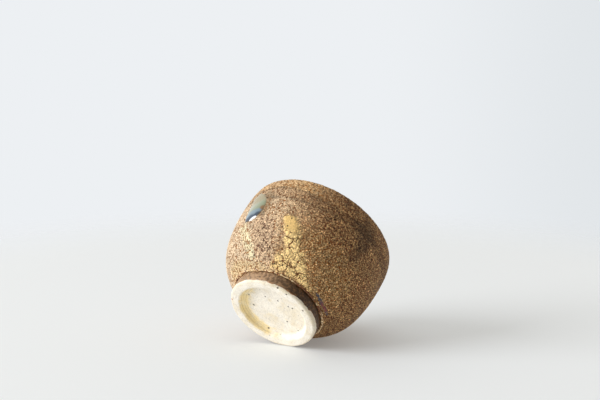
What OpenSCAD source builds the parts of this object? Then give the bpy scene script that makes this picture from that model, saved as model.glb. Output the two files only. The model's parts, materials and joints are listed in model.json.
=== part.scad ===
// Guinomi, a small hand-thrown sake cup, standing upright on its turned foot.
// Millimetres, +Z up. The origin is the centre of the face that the cup stands on.
// The ochre run comes down the -Y side, and the drop of glass lies to its left.

/* [Outside of the cup] */
// Height from the table to the top of the lip
cup_h = 43.3; // [41:0.1:56]
// Diameter over the glaze where the wall is widest
belly_d = 59.9; // [54:0.1:72]
// How far the widest place lies below the top of the lip
belly_drop = 8.3; // [7.3:0.1:15.3]
// How far the lip draws in from the widest place, or flares out past it where below zero
lip_draw = 0.55; // [-3:0.05:4.5]
// How far the glazed wall stands out past the clay foot at the hip, where they meet
hip_step = 0.8; // [0.7:0.05:4.8]
// Angle at which the wall leaves the hip, up from level
flare_angle = 45; // [30:1:55]
// How far the wall keeps that angle before it turns up
flare_pull = 9.2; // [4:0.2:14]
// How far the upright of the belly reaches down from the widest place
belly_pull = 22.3; // [10:0.1:25]
// How far the belly's upright reaches above the widest place before the lip draws in
shoulder_pull = 5.5; // [1:0.5:6]
// How far the lip's upright reaches down from its rounding
lip_pull = 0.8; // [0.4:0.2:4]

/* [Inside of the cup] */
// Thickness of the rounded lip, glaze included
lip_t = 3.2; // [2.4:0.1:5]
// Thickness of the wall at the belly, glaze included
wall_t = 3.6; // [2.8:0.1:5]
// Thickness of the bowl's floor above the foot, glaze included
floor_t = 2.4; // [2:0.1:5]
// How far the upright of the inside reaches down from the widest place
inner_wall_pull = 22.2; // [14:0.1:26]
// How far the inside runs out from the middle of the floor before it turns up
inner_floor_pull = 19; // [12:0.5:20]

/* [Foot] */
// Diameter of the bare clay foot
foot_d = 34.4; // [28:0.2:35]
// Height of the foot, from the table to the hip
foot_h = 5.2; // [4.6:0.1:8]
// Width of the standing ring round the recess turned in the underside
ring_w = 3.7; // [2.7:0.1:7.2]
// Depth of the recess
recess_depth = 2.2; // [1.8:0.1:2.6]
// Radius of the corner at the bottom of the recess
recess_corner_r = 1.2; // [0.4:0.1:1.4]
// Rounding of the inner edge of the standing ring
ring_edge_r = 0.4; // [0.2:0.05:0.6]
// Rounding of the outer edge of the standing ring
foot_edge_r = 0.7; // [0.2:0.05:1.2]

/* [Glaze] */
// Thickness of the glaze on the bowl, inside and outside
glaze_t = 0.7; // [0.5:0.05:0.9]
// Thickness of the dark glaze on the side of the foot
foot_glaze_t = 0.35; // [0.2:0.05:0.4]
// Height at which the dark glaze stops above the standing face
foot_glaze_gap = 0.7; // [0.2:0.1:1.2]
// Height of the strip left bare where the foot was held for dipping
grip_bare_h = 1.6; // [1.3:0.1:2.4]
// Angle round the cup over which that strip is bare
grip_bare_angle = 80; // [20:1:120]
// Where the middle of that strip lies, in degrees round from +X
grip_at = -12; // [-60:1:60]
// Thickness of the roll of glaze that drew back to the hip
roll_d = 1.2; // [0.8:0.1:1.6]

/* [Glass drop] */
// Length of the drop down the wall
drop_l = 14.5; // [12:0.5:18]
// Width of the drop at its round lower end
drop_w = 9; // [6:0.2:11]
// Width of the drop at its tail
drop_tail_w = 5.6; // [2:0.2:6]
// Thickness of the glass at the middle of the drop
drop_t = 0.9; // [0.5:0.1:1.4]
// How far the drop's lower end has run down below the top of the lip
drop_fall = 21.7; // [19:0.1:25]
// Where the drop lies, in degrees round from +X
drop_at = -150; // [-180:1:-130]
// How far the drop leans, its tail away from the run
drop_lean = 14; // [0:1:30]

/* [Ochre run] */
// Height of the top of the run above the table
run_top_h = 24; // [20:0.5:30]
// Width of the run where it comes down straight
run_w = 6; // [3:0.2:9]
// Height at which the run begins to spread
run_spread_h = 14; // [11:0.5:16]
// Width of the run where it has spread at the hip
run_foot_w = 16.5; // [12:0.5:22]
// Height of the straight sides of that foot
run_foot_h = 2.4; // [1:0.2:4]
// Thickness of the run on the glaze
run_t = 0.35; // [0.2:0.05:0.6]
// Where the run comes down, in degrees round from +X
run_at = -110; // [-130:1:-90]
// How far the spread foot reaches past the left side of the run
run_left_reach = 0.8; // [0:0.2:4]

/* [Blue streak] */
// Length of the streak along the hip
streak_l = 9; // [4:0.5:14]
// Width of the streak
streak_w = 1.7; // [1:0.1:3]
// Thickness of the streak on the glaze
streak_t = 0.3; // [0.2:0.05:0.5]
// Height of the streak above the hip
streak_rise = 1.8; // [1.2:0.1:4]
// Where the streak lies, in degrees round from +X
streak_at = -46; // [-70:1:-20]

/* [Hidden] */
$fn = 96;
// Straight pieces along each long curve, and along each half of the lip
wall_steps = 14;
lip_steps = 6;
// How far a cut runs past what it cuts
overrun = 1;

foot_r = foot_d/2;
recess_r = foot_r - ring_w;
belly_r = belly_d/2;
belly_h = cup_h - belly_drop;
lip_r = belly_r - lip_draw;
lip_round_r = lip_t/2;
lip_round_h = cup_h - lip_round_r;
hip = [foot_r + hip_step, foot_h];
floor_h = foot_h + floor_t;
coated_foot_r = foot_r + foot_glaze_t;
widest_r = max(belly_r, lip_r);

// Points of a cubic curve whose first point is left out, because the curve before it ends there
function curve(p, steps) = [
    for (i = [1:steps])
        let (t = i/steps, u = 1 - t)
        u*u*u*p[0] + 3*u*u*t*p[1] + 3*u*t*t*p[2] + t*t*t*p[3]
];

// Points of a round quarter from angle a to angle b, its first point left out
function round_arc(centre, r, a, b, steps) = [
    for (i = [1:steps])
        let (g = a + (b - a)*i/steps)
        centre + r*[cos(g), sin(g)]
];

function turned_round(path) = [for (i = [len(path) - 1:-1:0]) path[i]];

// The hip, moved square to the flare by d into the cup
function hip_point(d) = hip + d*[-sin(flare_angle), cos(flare_angle)];

// The outside as a path of [radius, height], from the hip to the top of the lip.
// It lies a depth d under the glazed surface, or outside it where d is below zero.
function outer_path(d) = concat(
    [hip_point(d)],
    curve([hip_point(d),
           hip_point(d) + flare_pull*[cos(flare_angle), sin(flare_angle)],
           [belly_r - d, belly_h - belly_pull],
           [belly_r - d, belly_h]], wall_steps),
    curve([[belly_r - d, belly_h],
           [belly_r - d, belly_h + shoulder_pull],
           [lip_r - d, lip_round_h - lip_pull],
           [lip_r - d, lip_round_h]], lip_steps),
    round_arc([lip_r - lip_round_r, lip_round_h], lip_round_r - d, 0, 90, lip_steps)
);

function lip_top(d) = [lip_r - lip_round_r, cup_h - d];

// The inside in the same way, from just past the top of the lip to the middle of the floor
function inner_path(d) = concat(
    round_arc([lip_r - lip_round_r, lip_round_h], lip_round_r - d, 90, 180, lip_steps),
    curve([[lip_r - lip_t + d, lip_round_h],
           [lip_r - lip_t + d, lip_round_h - lip_pull],
           [belly_r - wall_t + d, belly_h + shoulder_pull],
           [belly_r - wall_t + d, belly_h]], lip_steps),
    curve([[belly_r - wall_t + d, belly_h],
           [belly_r - wall_t + d, belly_h - inner_wall_pull],
           [inner_floor_pull, floor_h - d],
           [0, floor_h - d]], wall_steps)
);

// Everything inside the glazed outside of the cup, grown outwards by d
module outer_form(d) {
    rotate_extrude() {
        polygon(concat([[0, foot_h]], outer_path(-d), [[0, cup_h + d]]));
    }
}

// A thin layer on the +X side of the glaze, where the flat outline of its children lies.
// The outline is drawn as seen from outside, x to the right and y up from the table.
module on_wall(t) {
    intersection() {
        difference() {
            outer_form(t);
            outer_form(0);
        }
        rotate([90, 0, 90]) {
            linear_extrude(widest_r + t + overrun) {
                children();
            }
        }
    }
}

// The thrown bowl, of fired clay
module bowl() {
    color("#d8c3a0") {
        rotate_extrude() {
            polygon(concat([[0, foot_h], [foot_r, foot_h]], outer_path(glaze_t), inner_path(glaze_t)));
        }
    }
}

// The turned foot, a low drum with a shallow recess in its underside
module foot() {
    color("#f3e8d0") {
        rotate_extrude() {
            polygon(concat(
                [[0, foot_h], [0, recess_depth], [recess_r - recess_corner_r, recess_depth]],
                round_arc([recess_r - recess_corner_r, recess_depth - recess_corner_r],
                          recess_corner_r, 90, 0, lip_steps),
                [[recess_r, ring_edge_r]],
                round_arc([recess_r + ring_edge_r, ring_edge_r], ring_edge_r, 180, 270, lip_steps),
                [[foot_r - foot_edge_r, 0]],
                round_arc([foot_r - foot_edge_r, foot_edge_r], foot_edge_r, -90, 0, lip_steps),
                [[foot_r, foot_h]]
            ));
        }
    }
}

// The matte brown coat outside, from the hip to the top of the lip
module outer_glaze() {
    color("#9a754a") {
        rotate_extrude() {
            polygon(concat([[foot_r, foot_h]], outer_path(0), turned_round(outer_path(glaze_t))));
        }
    }
}

// The glossy coat inside, from the top of the lip to the middle of the floor
module inner_glaze() {
    color("#6f8f86") {
        rotate_extrude() {
            polygon(concat([lip_top(0)], inner_path(0),
                           turned_round(inner_path(glaze_t)), [lip_top(glaze_t)]));
        }
    }
}

// The thin dark band round the foot, cut short where the foot was held
module foot_glaze() {
    color("#3f2c22") {
        difference() {
            rotate_extrude() {
                translate([foot_r, foot_glaze_gap]) {
                    square([foot_glaze_t, foot_h - foot_glaze_gap]);
                }
            }
            rotate([0, 0, grip_at - grip_bare_angle/2]) {
                rotate_extrude(angle = grip_bare_angle) {
                    square([coated_foot_r + overrun, grip_bare_h]);
                }
            }
        }
    }
}

// The roll of glaze that drew back from the foot, seated in the angle under the coat
module hip_roll() {
    color("#d9ba62") {
        difference() {
            rotate_extrude() {
                translate(hip) {
                    circle(d = roll_d, $fn = 24);
                }
            }
            outer_form(0);
            cylinder(h = foot_h, r = coated_foot_r);
        }
    }
}

// The drop of glass near the lip, round below and drawn out to a tail above
module glass_drip() {
    tail_y = drop_l - (drop_w + drop_tail_w)/2;
    color("#7fa3a0") {
        rotate([0, 0, drop_at]) {
            on_wall(drop_t) {
                translate([0, cup_h - drop_fall + drop_w/2]) {
                    rotate(drop_lean) {
                        hull() {
                            circle(d = drop_w, $fn = 32);
                            translate([0, tail_y]) {
                                circle(d = drop_tail_w, $fn = 32);
                            }
                        }
                    }
                }
            }
        }
    }
}

// The yellow run, straight where it starts and spread to the right where it meets the hip
module ochre_run() {
    color("#c9a348") {
        rotate([0, 0, run_at]) {
            on_wall(run_t) {
                hull() {
                    translate([0, run_top_h - run_w/2]) {
                        circle(d = run_w, $fn = 32);
                    }
                    translate([0, run_spread_h]) {
                        circle(d = run_w, $fn = 32);
                    }
                }
                hull() {
                    translate([0, run_spread_h]) {
                        circle(d = run_w, $fn = 32);
                    }
                    translate([-run_w/2 - run_left_reach, foot_h + roll_d]) {
                        square([run_foot_w, run_foot_h]);
                    }
                }
            }
        }
    }
}

// The blue streak along the hip
module blue_streak() {
    color("#6d7484") {
        rotate([0, 0, streak_at]) {
            on_wall(streak_t) {
                translate([0, foot_h + streak_rise]) {
                    hull() {
                        for (side = [-1, 1]) {
                            translate([side*(streak_l - streak_w)/2, 0]) {
                                circle(d = streak_w, $fn = 24);
                            }
                        }
                    }
                }
            }
        }
    }
}

bowl();
foot();
outer_glaze();
inner_glaze();
foot_glaze();
hip_roll();
glass_drip();
ochre_run();
blue_streak();
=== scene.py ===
import json
import math

import bpy
import numpy as np
from bpy.props import FloatProperty, FloatVectorProperty, PointerProperty
from mathutils import Matrix, Vector

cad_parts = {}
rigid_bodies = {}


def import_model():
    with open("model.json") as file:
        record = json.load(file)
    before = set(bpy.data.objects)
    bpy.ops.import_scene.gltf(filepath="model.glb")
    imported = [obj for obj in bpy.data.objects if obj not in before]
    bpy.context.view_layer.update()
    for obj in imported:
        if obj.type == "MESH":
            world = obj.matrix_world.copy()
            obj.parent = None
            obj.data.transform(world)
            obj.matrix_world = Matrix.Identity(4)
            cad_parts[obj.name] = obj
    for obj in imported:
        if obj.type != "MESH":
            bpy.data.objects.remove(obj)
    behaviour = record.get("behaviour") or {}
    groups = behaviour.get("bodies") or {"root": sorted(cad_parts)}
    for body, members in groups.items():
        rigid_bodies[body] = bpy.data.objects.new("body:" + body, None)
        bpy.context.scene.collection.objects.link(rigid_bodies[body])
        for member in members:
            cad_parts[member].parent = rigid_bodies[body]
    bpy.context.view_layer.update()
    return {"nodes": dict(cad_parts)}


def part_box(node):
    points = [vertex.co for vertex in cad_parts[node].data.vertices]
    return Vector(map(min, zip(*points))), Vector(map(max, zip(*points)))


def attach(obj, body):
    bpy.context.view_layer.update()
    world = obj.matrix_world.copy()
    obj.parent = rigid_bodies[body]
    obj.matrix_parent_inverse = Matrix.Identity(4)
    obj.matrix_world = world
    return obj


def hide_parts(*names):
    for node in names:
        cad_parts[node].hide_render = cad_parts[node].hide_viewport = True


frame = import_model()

bl_info = {
    "name": "Guinomi glazes",
    "version": (1, 0, 0),
    "blender": (4, 5, 0),
    "location": "3D View > Sidebar > Guinomi",
    "description": "Models the crawled, run and pooled glazes of a small sake cup on its packed frame",
    "category": "Mesh",
}

MM = 0.001
FULL_TURN = 2 * math.pi
WELD = 0.001 * MM
# A Bezier handle of this share of the radius draws a quarter circle
ARC_SHARE = 0.5523
# The photograph's frame in pixels, and the camera's sensor in mm
PHOTO_WIDTH = 600
PHOTO_HEIGHT = 400
SENSOR = 36
# Radius in mm at which the painted outlines' bearings become lengths along the wall
WALL_RADIUS = 26
# Length of the edges on a coat's back, which nothing shows
BACK_EDGES = 6 * MM
# Depth of the thin skins, inwards from their face
SKIN_DEPTH = 0.3 * MM
# How far a run stands above the coat, and its edge dives under it, in mm
RUN_RISE = 0.25
# Radius of the roll round the hip, before it swells and sinks
ROLL_RADIUS = 0.6 * MM
# Height in mm at which the foot coat ends, and how much higher it ends along the strip
COAT_HEM = 0.75
STRIP_STEP = 0.85
# Lengths of the Bezier handles on the bowl's section: out of the hip, below the belly outside and
# inside, above the belly, below the lip, and along the floor
HIP_FLARE = 9.2 * MM
BELLY_FALL = 22.3 * MM
INNER_FALL = 22.2 * MM
BELLY_RISE = 5.5 * MM
LIP_FALL = 0.8 * MM
FLOOR_REACH = 19 * MM

# Outlines of the glaze patches on the wall: bearing round the axis in degrees, height in mm
OCHRE_OUTLINE = (
    (-121.5, 23), (-120, 20.5), (-117.8, 18.2), (-114, 15), (-109.3, 13), (-108, 11.6), (-112, 10),
    (-117, 9.2), (-119.3, 7.5), (-120.5, 5.9), (-64, 5.9), (-73, 7), (-81, 8.8), (-88, 10.6),
    (-94, 12.2), (-98.5, 14.2), (-101, 15.9), (-104.5, 17.6), (-107.2, 20.9), (-111.5, 24), (-117, 24.4),
)
STREAK_OUTLINE = (
    (-62, 6.7), (-57, 7.0), (-50, 6.9), (-43, 6.8), (-34, 7.0), (-26, 6.8), (-28, 6.3),
    (-36, 6.0), (-47, 5.9), (-56, 6.2),
)
DROP_OUTLINE = (
    (-158, 22.3), (-156.3, 20.8), (-152, 20.8), (-148.5, 21.3), (-145, 22.4), (-142.3, 24.6),
    (-141.8, 27), (-142.3, 28.8), (-144.2, 31.2), (-150, 34.5), (-156, 36.3), (-162, 34.4),
    (-160.6, 31), (-159.7, 28.3), (-158.8, 24.6),
)
PATCHES = {
    "ochre": OCHRE_OUTLINE,
    "gilt": (
        (-108, 20), (-96, 22), (-84, 22), (-72, 21), (-62, 18), (-50, 15.5), (-40, 13), (-34, 9),
        (-44, 5.5), (-113, 5.5), (-113, 12), (-106, 15),
    ),
    "pale": (
        (-160.5, 19.5), (-155.5, 20.5), (-151, 18), (-146, 14.5), (-141.5, 11.6), (-139.4, 7.6),
        (-147, 7.4), (-152, 11), (-156.5, 14.5),
    ),
    "mauve": (
        (-146, 21), (-138, 23), (-128, 21), (-122.5, 16), (-122.5, 9), (-128, 6.5), (-134, 7),
        (-139, 9.5), (-143, 14),
    ),
    "halo": (
        (-146, 36.5), (-139.8, 34.2), (-135.8, 27.6), (-137.1, 23.3), (-143, 22.2), (-150, 23), (-150, 34),
    ),
    # A smoked grey-olive patch; its lower reach is also painted shade on the cup's dark side
    "smoky": (
        (-73, 36), (-68, 39), (-60, 39.5), (-53, 37), (-52, 33.5), (-53, 28), (-55, 23), (-60, 22),
        (-63, 26), (-67, 31), (-72, 33),
    ),
    "streak": STREAK_OUTLINE,
    "fringe": (
        (-194, 5.2), (-190, 9), (-172, 9.5), (-150, 7.6), (-134, 6.6), (-126, 6.2), (-126, 5.2),
    ),
}
# The two edges of the dip band below the lip: bearing, height in mm
DIP_EDGES = {
    "above_upper": (
        (-180, 36.5), (-157, 37.2), (-131, 37.2), (-116, 36.4), (-99, 34.9), (-85, 34.6), (-60, 35.8),
        (0, 36.5), (90, 37.2),
    ),
    "above_lower": (
        (-180, 32.5), (-144, 32), (-110, 31.6), (-91, 31.4), (-75, 32.7), (-54, 34.2), (-30, 33.8),
        (30, 33), (120, 32),
    ),
}
# The lowest end of the glass drop, and its amber spot: bearing, height in mm
DROP_END = (-156, 20.9)
AMBER_SPOT = (-143, 26.6)
# Bearings of the side painted paler (the flame's mark and painted light from the key), the recess's wash,
# the foot coat's bloom and painted sheen, the rolled edge's painted shade and the strip where the coat ends
# higher
PALE_LIT_SIDE = 175
WASH_SIDE = 137
BLOOM_SHEEN_SIDE = -160
SHADED_ROLL_SIDE = -70
STRIP_SIDE = -12
# How far the raised strip reaches either way: where it has ended, and where it is full
STRIP_REACH = (41, 37)
# How soft and ragged the ochre run's edge is, in mm, and the size of its raggedness
OCHRE_EDGE = (0.9, 1.1, 2.6 * MM)
# Iron specks burnt into the clay of the foot, and a spot of rust: places in mm on its face
SPECKS = (
    (-11.2, 0.1), (-5.6, -4.6), (-7.7, 4.2), (3.6, -6.9), (5.2, -7.4), (-0.8, -6.5), (6.2, 2.0),
    (1.6, 12.3), (11.4, 3.2), (-3.3, -16.5), (0.6, -16.2), (8.8, -12.9),
)
RUST_SPOT = (-15.7, 5.4)
# How full the rolled edge is at each bearing, as shares of its radius
ROLL_SHARES = (
    (-180, 0.6), (-170, 1.35), (-162, 1.2), (-155, 0.75), (-147, 0.95), (-138, 1.5), (-131, 1.2),
    (-127, 0.7), (-120, 1.0), (-112, 0.6), (-104, 0.9), (-96, 0.55), (-84, 0.75),
    (-62, 0.6), (-48, 0.8), (-25, 0.9), (5, 0.85), (50, 1.0), (90, 0.6), (135, 0.95),
)


def linear(code):
    """Turns an sRGB hex colour into linear red, green and blue."""
    parts = [int(code[start:start + 2], 16) / 255 for start in (1, 3, 5)]
    return tuple(part / 12.92 if part <= 0.04045 else ((part + 0.055) / 1.055) ** 2.4 for part in parts)


def colour(name, text, code):
    """A colour that the sidebar shows as a swatch."""
    return FloatVectorProperty(name=name, description=text, default=linear(code), subtype="COLOR",
                               min=0, max=1)


def length(name, text, default):
    """A size that the sidebar shows as a length."""
    return FloatProperty(name=name, description=text, default=default, subtype="DISTANCE", unit="LENGTH",
                         precision=5)


def angle(name, text, degrees):
    """An angle that the sidebar shows in degrees."""
    return FloatProperty(name=name, description=text, default=math.radians(degrees), subtype="ANGLE")


def pixels(name, text, default):
    """A measure in pixels of the photograph."""
    return FloatProperty(name=name, description=text, default=default, subtype="PIXEL")


class GuinomiShape(bpy.types.PropertyGroup):
    """Sizes of the thrown bowl and its turned foot, as the frame has them."""
    belly_radius: length("Belly radius", "Radius of the glazed belly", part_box("outer_glaze")[1].x)
    lip_height: length("Lip height", "Height of the lip above the table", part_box("outer_glaze")[1].z)
    belly_drop: length("Belly drop", "How far the widest ring lies below the lip", 8.3 * MM)
    lip_draw: length("Lip draw", "How much smaller the lip's radius is than the belly's", 0.55 * MM)
    lip_thickness: length("Lip thickness", "Thickness of the lip", 3.2 * MM)
    wall_thickness: length("Wall thickness", "Thickness of the wall at the belly", 3.6 * MM)
    floor_thickness: length("Floor thickness", "Thickness of the floor inside the foot ring", 2.4 * MM)
    foot_radius: length("Foot radius", "Radius of the foot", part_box("foot")[1].x)
    foot_height: length("Foot height", "Height of the foot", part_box("foot")[1].z)
    hip_step: length("Hip step", "How far the bowl's underside starts outside the foot", 0.8 * MM)
    glaze: length("Glaze thickness", "Thickness of both coats on the bowl", 0.7 * MM)
    recess_radius: length("Recess radius", "Radius of the recess under the foot", 13.5 * MM)
    recess_depth: length("Recess depth", "Depth of the recess under the foot", 2.2 * MM)


class GuinomiRelief(bpy.types.PropertyGroup):
    """Sizes of the glaze's crawling, crackle and pinholes."""
    grain: length("Grain", "Width of one island of crawled glaze", 0.56 * MM)
    grain_rise: length("Grain rise", "Height of the islands above the gaps", 0.14 * MM)
    craze: length("Craze", "Width of one plate where the wall fired paler", 0.85 * MM)
    plate: length("Plate", "Width of one plate of the ochre crackle", 1.9 * MM)
    crack: length("Crack", "Half the width of a crack", 0.08 * MM)
    pit: length("Pinhole", "Radius of a pinhole", 0.24 * MM)
    pit_spacing: length("Pinhole spacing", "Mean distance between pinholes", 1.5 * MM)
    sway: length("Sway", "How far the hand-thrown wall strays from a true circle", 0.12 * MM)


class GuinomiColours(bpy.types.PropertyGroup):
    """Colours of the clay and the glazes."""
    grain: colour("Grain", "Islands of the crawled brown glaze", "#f6c888")
    ground: colour("Ground", "Gaps between the islands", "#66300e")
    # The side that fired paler is also painted lighter here, as painted light from the key light
    pale_lit_grain: colour("Pale grain", "Islands on the side that fired paler", "#ffe6c2")
    pale_lit_ground: colour("Pale ground", "Gaps on the side that fired paler", "#94602e")
    lip_grain: colour("Lip grain", "Islands above the dip line", "#fcd8a2")
    lip_ground: colour("Lip ground", "Gaps above the dip line", "#a46a2c")
    dip_grain: colour("Dip grain", "Islands in the dark band", "#c0905c")
    dip_ground: colour("Dip ground", "Gaps in the dark band", "#502c12")
    ochre_plate: colour("Ochre plate", "Plates of the ochre run", "#fcd894")
    ochre_smooth: colour("Smooth ochre", "Uncracked top of the ochre run", "#f0c87e")
    ochre_crack: colour("Ochre crack", "Cracks of the ochre run", "#6e3a0c")
    pale: colour("Pale", "Thick pale glaze above the foot", "#fff4ca")
    mauve: colour("Mauve", "Starved purple-grey glaze", "#fcd8ae")
    mauve_ground: colour("Mauve ground", "Gaps of the starved glaze", "#68442e")
    # Smoked glaze, partly painted shade
    smoky: colour("Smoky", "Smoked grey-olive glaze", "#705842")
    gilt: colour("Gilt", "Golden grains round the ochre run", "#fcd698")
    gilt_ground: colour("Gilt ground", "Gaps between the golden grains", "#8c5420")
    halo: colour("Halo", "Grey halo beside the glass drop", "#b4a080")
    pit: colour("Pinhole", "Bottom of a pinhole", "#2a1a12")
    clay: colour("Clay", "Bare fired clay", "#f8f0e2")
    clay_shade: colour("Clay shade", "Damp-looking patches of the clay", "#e4d4b4")
    wash: colour("Wash", "Ochre wash in the recess", "#ffe8b0")
    speck: colour("Speck", "Iron specks in the clay", "#3c2e24")
    scorch: colour("Scorch", "Orange line where glaze thins to nothing on clay", "#b8763c")
    foot_glaze: colour("Foot glaze", "Thin dark glaze on the foot", "#40280f")
    fleck: colour("Fleck", "Golden flecks in the foot's dark glaze", "#7e5830")
    # Purple bloom, partly painted light: it is laid on the side towards the key light
    foot_sheen: colour("Foot bloom", "Purple bloom on the foot's glaze", "#ba9672")
    roll: colour("Roll", "Cream-yellow rolled edge", "#f6dcac")
    glass_deep: colour("Deep glass", "Thick blue end of the glass drop", "#1a3650")
    glass_blue: colour("Blue glass", "Pale blue of the glass drop", "#6c828e")
    glass_green: colour("Green glass", "Celadon middle of the glass drop", "#76815c")
    glass_olive: colour("Olive glass", "Thin olive top of the glass drop", "#8c7e52")
    glass_rim: colour("Glass rim", "Thin edge of the glass drop over brown", "#6c5622")
    amber: colour("Amber", "Amber spot at the glass drop's edge", "#7c5000")
    streak: colour("Streak", "Blue-grey streak", "#55555f")
    streak_red: colour("Streak red", "Red end of the streak", "#a0524c")
    inner_lip: colour("Inner lip", "Glossy ochre-brown just inside the lip", "#8a6434")
    inner_wall: colour("Inner wall", "Olive of the inner wall", "#5f6140")
    inner_pool: colour("Inner pool", "Blue-green pool on the floor", "#2f5a5c")
    floor: colour("Floor", "Pale floor under the cup", "#d0d3d5")
    window: colour("Window", "Cool light of the window", "#fafcff")
    room: colour("Room", "Warm light that the room gives back", "#fffdf8")
    sky_left: colour("Backdrop left", "Backdrop on the window's side", "#edf0f3")
    sky_right: colour("Backdrop right", "Backdrop away from the window", "#e2e6e9")


class GuinomiStage(bpy.types.PropertyGroup):
    """The photograph's camera, floor and light."""
    distance: length("Distance", "From the camera's plane to the foot", 550 * MM)
    focal: pixels("Focal length", "Focal length in pixels of the photograph", 1485)
    foot_x: pixels("Foot X", "Column of the foot's centre in the photograph", 272.03)
    foot_y: pixels("Foot Y", "Row of the foot's centre in the photograph", 314.46)
    tip: angle("Tip", "Angle between the cup's axis and the line of sight", 52.473)
    swing: angle("Swing", "Angle of the cup's axis in the picture", 57.41)
    down: angle("Down", "How steeply the camera looks down on the floor", 9.8)
    key_height: angle("Key height", "Height of the key light above the floor", 22)
    key_forward: angle("Key forward", "How far the key stands before the cup", 14)
    key_distance: length("Key distance", "From the cup to the key light", 3.0)
    key_size: length("Key size", "Width of the key light", 2.0)
    key_power: FloatProperty(name="Key power", description="Power of the key light", default=94,
                             subtype="POWER")
    floor_radius: length("Floor radius", "Radius of the floor before it fades out", 300 * MM)


def sizes():
    """The shape, relief, colour and stage settings of the scene."""
    scene = bpy.context.scene
    return scene.guinomi_shape, scene.guinomi_relief, scene.guinomi_colours, scene.guinomi_stage


def fill(tree, node, inputs):
    """Links or sets a node's inputs, given by name or by number; a colour gets full alpha. In a Map Range
    node, 1 and 2 are the ends that it maps from, 3 and 4 the ends that it maps to. In a Mix node, 2 and 3
    are the numbers that it mixes, and 6 and 7 the colours."""
    for key, value in inputs.items():
        socket = node.inputs[key]
        if isinstance(value, bpy.types.NodeSocket):
            tree.links.new(value, socket)
        else:
            socket.default_value = (*value, 1.0) if socket.type == "RGBA" else value


def add(tree, kind, inputs=None, out=0, **settings):
    """Adds a node with its settings, fills or links its inputs, and returns one of its outputs."""
    node = tree.nodes.new(kind)
    for name, value in settings.items():
        setattr(node, name, value)
    fill(tree, node, inputs or {})
    return node.outputs[out]


def material(finish):
    """Makes the material that a finish describes, and names it after that."""
    made = bpy.data.materials.new(finish.__name__)
    made.use_nodes = True
    tree = made.node_tree
    fill(tree, tree.nodes["Principled BSDF"], finish(tree))
    return made


def laid(tree, body, *layers):
    """Lays colours over a body one after another, each by its share."""
    for share, over in layers:
        body = add(tree, "ShaderNodeMix", {0: share, 6: body, 7: over}, out=2, data_type="RGBA")
    return body


def only(piece):
    """Selects one piece and makes it active."""
    bpy.ops.object.select_all(action="DESELECT")
    piece.select_set(True)
    bpy.context.view_layer.objects.active = piece


def modify(piece, kind, **settings):
    """Gives a piece a modifier with its settings, and applies it."""
    only(piece)
    bpy.ops.object.modifier_add(type=kind)
    modifier = piece.modifiers[-1]
    for name, value in settings.items():
        setattr(modifier, name, value)
    bpy.ops.object.modifier_apply(modifier=modifier.name)


def edit(piece, *steps):
    """Runs mesh operators on all of a piece."""
    only(piece)
    bpy.ops.object.mode_set(mode="EDIT")
    bpy.ops.mesh.select_all(action="SELECT")
    for step in steps:
        step()
    bpy.ops.object.mode_set(mode="OBJECT")


def edit_some(piece, chosen, operator, **settings):
    """Runs a mesh operator on the chosen vertices of a piece."""
    only(piece)
    bpy.ops.object.mode_set(mode="EDIT")
    bpy.ops.mesh.select_mode(type="VERT")
    bpy.ops.mesh.select_all(action="DESELECT")
    bpy.ops.object.mode_set(mode="OBJECT")
    piece.data.vertices.foreach_set("select", chosen)
    bpy.ops.object.mode_set(mode="EDIT")
    operator(**settings)
    bpy.ops.object.mode_set(mode="OBJECT")


def weld():
    """Welds vertices that lie on one another."""
    bpy.ops.mesh.remove_doubles(threshold=WELD)


def geometry_tree(name, build):
    """Makes a geometry tree, whose result build makes from the geometry that comes in."""
    tree = bpy.data.node_groups.new(name, "GeometryNodeTree")
    for way in ("INPUT", "OUTPUT"):
        tree.interface.new_socket("Geometry", in_out=way, socket_type="NodeSocketGeometry")
    result = build(tree, add(tree, "NodeGroupInput"))
    tree.links.new(result, tree.nodes.new("NodeGroupOutput").inputs[0])
    return tree


def section(name, corners, spacing):
    """Draws a path through corners of radius and height, and cuts it into even edges."""
    def evened(tree, drawn):
        even = add(tree, "GeometryNodeResampleCurve", {0: drawn, "Length": spacing}, mode="LENGTH")
        return add(tree, "GeometryNodeCurveToMesh", {0: even})

    bpy.ops.object.select_all(action="DESELECT")
    bpy.ops.curve.primitive_bezier_curve_add()
    path = bpy.context.object
    path.name = name
    path.data.resolution_u = 64
    spline = path.data.splines[0]
    spline.bezier_points.add(len(corners) - 2)
    for point, corner in zip(spline.bezier_points, corners):
        before, at, after = ((radius, 0, height) for radius, height in corner)
        point.handle_left_type = "FREE"
        point.handle_right_type = "FREE"
        point.co = at
        point.handle_left = before
        point.handle_right = after
    bpy.ops.object.modifier_add(type="NODES")
    path.modifiers[-1].node_group = geometry_tree(name + "_steps", evened)
    bpy.ops.object.convert(target="MESH")
    return bpy.context.object


def join(piece, other):
    """Joins another piece to the first and welds where they meet."""
    only(piece)
    other.select_set(True)
    bpy.ops.object.join()
    edit(piece, weld)


def bridge(piece, here, there):
    """Joins two loose ends of a section with an edge."""
    near = [min((vertex.co - here).length, (vertex.co - there).length) < WELD
            for vertex in piece.data.vertices]
    edit_some(piece, near, bpy.ops.mesh.edge_face_add)


def turn(piece, steps, span=FULL_TURN, start=0.0, closed=True):
    """Turns a section round the cup's axis, welds its seam and poles, and points its faces outwards."""
    modify(piece, "SCREW", angle=span, steps=steps, render_steps=steps)
    piece.rotation_euler.z = start
    bpy.ops.object.transform_apply(location=False, rotation=True, scale=False)
    edit(piece, weld, bpy.ops.mesh.normals_make_consistent)
    if not closed and normals(piece)[0].mean() < 0:
        edit(piece, bpy.ops.mesh.flip_normals)
    bpy.ops.object.shade_smooth()


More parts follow.
